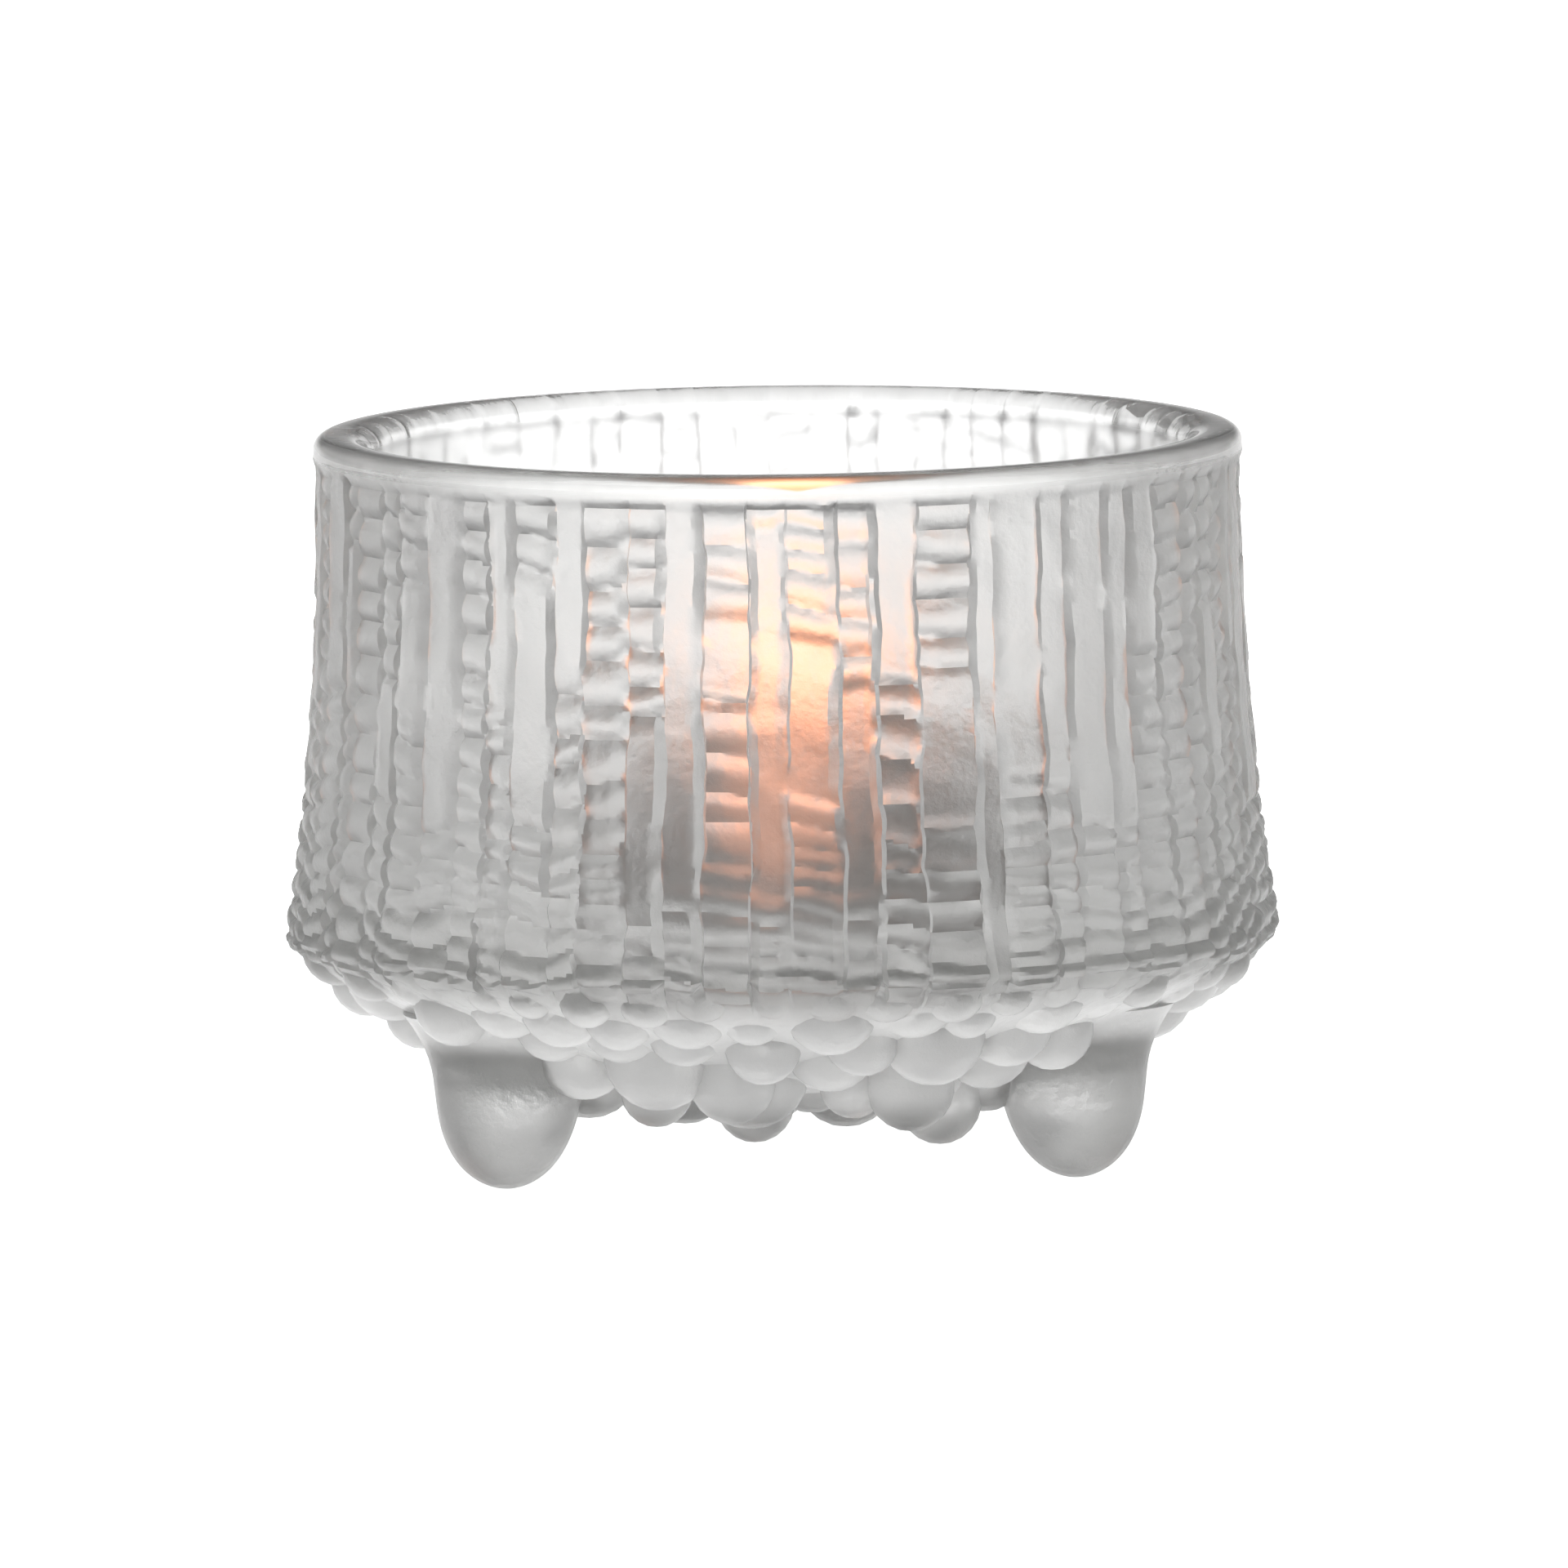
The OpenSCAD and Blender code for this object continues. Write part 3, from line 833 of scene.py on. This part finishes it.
wick = clean_skin(braided_wick(), smooth_angle=60)
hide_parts("wick")
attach(wick, "candle")
print("wick:", len(wick.data.polygons), "faces")

# %% The flame
FLAME_H = 19.0
FLAME_R = 6.4                   # wider than a real flame's, so that more of its glow shows
FLAME_BASE = wick_high[2] - 4.6


def flame_skin():
    """A long drop: its width is the sine of a stretched height, full low down and fine at the tip."""
    t = np.linspace(0, 1, 48)[:, None]
    angle = np.linspace(0, 2 * math.pi, 40, endpoint=False)
    width = FLAME_R * np.sin(math.pi * t ** 0.64) ** 0.95 * (1 - 0.42 * t)
    sway = 0.5 * np.sin(t * 2.6) * t
    points = turn(width, angle, FLAME_BASE + FLAME_H * t)
    points[..., 0] += sway - 0.5
    points[0] = points[0].mean(axis=0)
    points[-1] = points[-1].mean(axis=0)
    return grid_object("flame", at_tealight(points), poles=(True, True))


flame = clean_skin(flame_skin(), smooth_angle=80)
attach(flame, "candle")
print("flame:", len(flame.data.polygons), "faces")

# %% Finishes of the tealight
def pressed_foil():
    """Aluminium foil: fine drawing lines round the cup and a faintly mottled sheen.

    Its colour is darker than real aluminium's, so that the cup shows as a shadow through the glass.
    """
    material, tree, shader = new_material("pressed_foil")
    vector, _, height = object_axes(tree)
    mottle = noise(tree, vector, 260.0, 3.0)
    rough = ramp_between(tree, mottle, 0.25, 0.75, 0.22, 0.38)
    tree.links.new(rough, shader.inputs["Roughness"])
    colour = colour_ramp(tree, mottle, (0.18, 0.165, 0.155), (0.29, 0.27, 0.255))
    tree.links.new(colour, shader.inputs["Base Color"])
    lines = math_node(tree, "SINE", math_node(tree, "MULTIPLY", height, 42000.0))
    height_map = math_node(tree, "ADD", math_node(tree, "MULTIPLY", lines, 0.2), mottle)
    add_bump(tree, shader, height_map, 0.3, 0.00005)
    shader.inputs["Metallic"].default_value = 1.0
    return material


def candle_wax():
    """Paraffin: white and slightly see-through, glossy where it has melted and dull at the rim."""
    material, tree, shader = new_material("candle_wax")
    vector, _, height = object_axes(tree)
    offset = add_node(tree, "ShaderNodeVectorMath", {0: vector, 1: (-CUP_X * MM, -CUP_Y * MM, 0)},
                      operation="ADD")
    parts = add_node(tree, "ShaderNodeSeparateXYZ", {"Vector": offset.outputs[0]})
    flat = add_node(tree, "ShaderNodeCombineXYZ", {"X": parts.outputs["X"], "Y": parts.outputs["Y"]})
    radius = add_node(tree, "ShaderNodeVectorMath", {0: flat.outputs[0]}, operation="LENGTH").outputs["Value"]
    solid = ramp_between(tree, radius, (POOL_R - 1.2) * MM, (POOL_R + 1.2) * MM, 0.0, 1.0)
    mottle = noise(tree, vector, 320.0, 3.0)
    dull = math_node(tree, "MULTIPLY", solid, 0.38)
    rough = math_node(tree, "ADD", dull, math_node(tree, "MULTIPLY", mottle, 0.12))
    tree.links.new(rough, shader.inputs["Roughness"])
    colour = colour_ramp(tree, solid, (0.86, 0.77, 0.62), (0.90, 0.87, 0.80))
    tree.links.new(colour, shader.inputs["Base Color"])
    add_bump(tree, shader, math_node(tree, "MULTIPLY", mottle, solid), 0.25, 0.0002)
    shader.inputs["Subsurface Weight"].default_value = 0.4
    shader.inputs["Subsurface Radius"].default_value = (1.0, 0.6, 0.35)
    shader.inputs["Subsurface Scale"].default_value = 0.004
    return material


def charred_cotton():
    """Waxed cotton at the bottom, charred black at the top with a brown zone between."""
    material, tree, shader = new_material("charred_cotton")
    vector, _, height = object_axes(tree)
    speck = noise(tree, vector, 2200.0, 3.0, 0.7)
    char_low, char_high = WAX_TOP * MM, (WAX_TOP + 2.2) * MM
    char = ramp_between(tree, height, char_low, char_high, 0.0, 0.85)
    shade = math_node(tree, "ADD", char, math_node(tree, "MULTIPLY", speck, 0.15), clamp=True)
    colour = colour_ramp(tree, shade, (0.62, 0.55, 0.42), (0.012, 0.010, 0.009), (0.5, (0.12, 0.06, 0.03)))
    tree.links.new(colour, shader.inputs["Base Color"])
    tree.links.new(ramp_between(tree, speck, 0.3, 0.7, 0.6, 0.95), shader.inputs["Roughness"])
    add_bump(tree, shader, speck, 0.5, 0.0001)
    return material


def tinned_steel():
    """Thin tinned sheet, with fine rolling lines and a few dull spots."""
    material, tree, shader = new_material("tinned_steel")
    vector, _, _ = object_axes(tree)
    stretched = add_node(tree, "ShaderNodeMapping", {"Vector": vector, "Scale": (1.0, 14.0, 1.0)})
    lines = noise(tree, stretched.outputs[0], 600.0, 2.0)
    spots = noise(tree, vector, 500.0, 2.0)
    tree.links.new(ramp_between(tree, spots, 0.3, 0.7, 0.28, 0.5), shader.inputs["Roughness"])
    colour = colour_ramp(tree, lines, (0.42, 0.43, 0.44), (0.62, 0.63, 0.65))
    tree.links.new(colour, shader.inputs["Base Color"])
    add_bump(tree, shader, lines, 0.15, 0.00003)
    shader.inputs["Metallic"].default_value = 1.0
    return material


FLAME_LIGHT = 2.3


def flame_glow():
    """A glowing skin: dark orange at the root, pale orange in the body and dull orange at the tip."""
    material, tree, shader = new_material("flame_glow")
    vector, _, height = object_axes(tree)
    up = ramp_between(tree, height, FLAME_BASE * MM, (FLAME_BASE + FLAME_H) * MM, 0.0, 1.0)
    flicker = math_node(tree, "MULTIPLY", noise(tree, vector, 150.0, 1.0), 0.12)
    stage = math_node(tree, "ADD", up, flicker, clamp=True)
    colour = colour_ramp(tree, stage, (0.60, 0.17, 0.06), (0.66, 0.30, 0.15),
                         (0.25, (0.95, 0.34, 0.15)), (0.55, (1.0, 0.56, 0.34)))
    tree.links.new(colour, shader.inputs["Emission Color"])
    tree.links.new(colour, shader.inputs["Base Color"])
    shader.inputs["Emission Strength"].default_value = FLAME_LIGHT
    shader.inputs["Roughness"].default_value = 1.0
    return material


for piece, finish in ((cup, pressed_foil), (wax, candle_wax), (wick, charred_cotton), (flame, flame_glow)):
    piece.data.materials.append(finish())
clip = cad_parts["wick_clip"]
if clip.material_slots:
    clip.material_slots[0].material = tinned_steel()
else:
    clip.data.materials.append(tinned_steel())
print("finishes on the tealight's pieces")

# %% [markdown]
# ## Table and camera
#
# The table is a white sheet that also glows by itself, like a light table: most in a strip that runs away
# from the camera, and less round the holder and in front of it. Right under the holder the glow is dimmed
# further as a painted shadow. The camera stands far away with a long lens, a few degrees above the lip.

# %% The table
TABLE_HALF = 2.5
TABLE_GLOW = 1.65
TABLE_EDGE_GLOW = 0.84
NEAR_GLOW = 0.70                # the table round the holder, as a share of the light further back
NEAR_EDGE = (0.10, 0.26)        # metres behind the holder, where the near part ends
FRONT_GLOW = 0.3                # the table's front, as a share
FRONT_EDGE = (-0.55, -0.36)     # metres, where the front part ends
GLOW_EDGE = (0.045, 0.17)       # metres off the middle, where the lit part of the sheet fades
UNDER_HOLDER_PAINTED_SHADOW = 0.78               # how much of the light is left right under the holder: a painted shadow
PAINTED_SHADOW_EDGE = (0.012, 0.052)     # metres from the holder's middle, where that painted shadow fades
table_mesh = bpy.data.meshes.new("table")
corners = np.array([[-1, -1, 0], [1, -1, 0], [1, 1, 0], [-1, 1, 0]]) * TABLE_HALF
table_mesh.from_pydata(corners.tolist(), [], [[0, 1, 2, 3]])
table = bpy.data.objects.new("table", table_mesh)
bpy.context.scene.collection.objects.link(table)
paper, paper_tree, paper_shader = new_material("white_sheet")
paper_shader.inputs["Roughness"].default_value = 0.9
paper_shader.inputs["Base Color"].default_value = (0.86, 0.86, 0.86, 1)
paper_shader.inputs["Emission Color"].default_value = (1, 1, 1, 1)
paper_vector = add_node(paper_tree, "ShaderNodeTexCoord").outputs["Object"]
paper_axes = add_node(paper_tree, "ShaderNodeSeparateXYZ", {"Vector": paper_vector})
off_middle = math_node(paper_tree, "ABSOLUTE", paper_axes.outputs["X"])
paper_glow = ramp_between(paper_tree, off_middle, *GLOW_EDGE, TABLE_GLOW, TABLE_EDGE_GLOW)
from_holder = add_node(paper_tree, "ShaderNodeVectorMath", {0: paper_vector}, operation="LENGTH")
# Painted shadow: the sheet's glow is dimmed right under the holder.
painted_shadow_under_holder = ramp_between(paper_tree, from_holder.outputs["Value"], *PAINTED_SHADOW_EDGE, UNDER_HOLDER_PAINTED_SHADOW, 1.0)
paper_glow = math_node(paper_tree, "MULTIPLY", paper_glow, painted_shadow_under_holder)
for edge, share in ((NEAR_EDGE, NEAR_GLOW), (FRONT_EDGE, FRONT_GLOW)):
    dimming = ramp_between(paper_tree, paper_axes.outputs["Y"], *edge, share, 1.0)
    paper_glow = math_node(paper_tree, "MULTIPLY", paper_glow, dimming)
paper_tree.links.new(paper_glow, paper_shader.inputs["Emission Strength"])
table_mesh.materials.append(paper)
print("table", 2 * TABLE_HALF, "m wide")

# %% The soft lamps
def soft_lamp(name, place, size, power):
    """A square area light that faces the middle of the holder."""
    light = bpy.data.lights.new(name, "AREA")
    light.size = size
    light.energy = power
    lamp = bpy.data.objects.new(name, light)
    bpy.context.scene.collection.objects.link(lamp)
    lamp.location = place
    aim = np.array([0, 0, HOLDER_H / 2 * MM]) - np.array(place)
    lamp.rotation_euler = look_angles(aim)
    return lamp


def look_angles(aim):
    """Euler angles that point an object's -Z along the aim, with its Y kept upright."""
    flat = math.hypot(aim[0], aim[1])
    return (math.atan2(flat, -aim[2]), 0.0, math.atan2(-aim[0], aim[1]))


soft_lamp("soft_top", (-0.55, -0.55, 0.85), 0.6, 2.5)
soft_lamp("low_front", (-0.25, -1.0, 0.12), 0.4, 1.6)

# %% A stand-in lamp for the flame's scattered light
# A tiny warm lamp in the gap between the cup and the wall stands in for flame light that the frosting
# scatters. It isn't where the flame is, but it moves with it. Its place and strength are tuned for looks.
FLAME_GLOW_AT = (-0.0005, -0.0275, 0.0325)
glow = bpy.data.lights.new("flame_glow", "POINT")
glow.energy = 0.0006
glow.color = (1.0, 0.33, 0.12)
glow.shadow_soft_size = 0.0065
glow_lamp = bpy.data.objects.new("flame_glow", glow)
bpy.context.scene.collection.objects.link(glow_lamp)
glow_lamp.location = FLAME_GLOW_AT
glow_lamp.parent = flame

# %% The camera
EYE_DISTANCE = 3.0              # metres
EYE_HEIGHT = 0.367
AIM_Z = 0.03364
AIM_X = 0.00025
VIEW_WIDTH = 0.1381
ROLL = math.radians(-0.62)
SENSOR = 36.0

camera_data = bpy.data.cameras.new("camera")
camera = bpy.data.objects.new("camera", camera_data)
bpy.context.scene.collection.objects.link(camera)
bpy.context.scene.camera = camera
rise = EYE_HEIGHT - AIM_Z
back = math.sqrt(EYE_DISTANCE ** 2 - rise ** 2)
camera.location = (AIM_X, -back, EYE_HEIGHT)
camera_data.sensor_width = SENSOR
camera_data.lens = SENSOR * EYE_DISTANCE / VIEW_WIDTH
camera_data.clip_end = 20.0
tilt = mathutils.Matrix.Rotation(math.pi / 2 - math.atan2(rise, back), 4, "X")
roll = mathutils.Matrix.Rotation(ROLL, 4, "Z")
camera.rotation_euler = (tilt @ roll).to_euler()
bpy.context.scene.view_settings.view_transform = "Standard"
print("lens", round(camera_data.lens), "mm at", EYE_DISTANCE, "m")

# %% A helper that gives a box as plain numbers
def plain(box):
    """A box as plain lists of numbers."""
    return [[float(value) for value in corner] for corner in box]
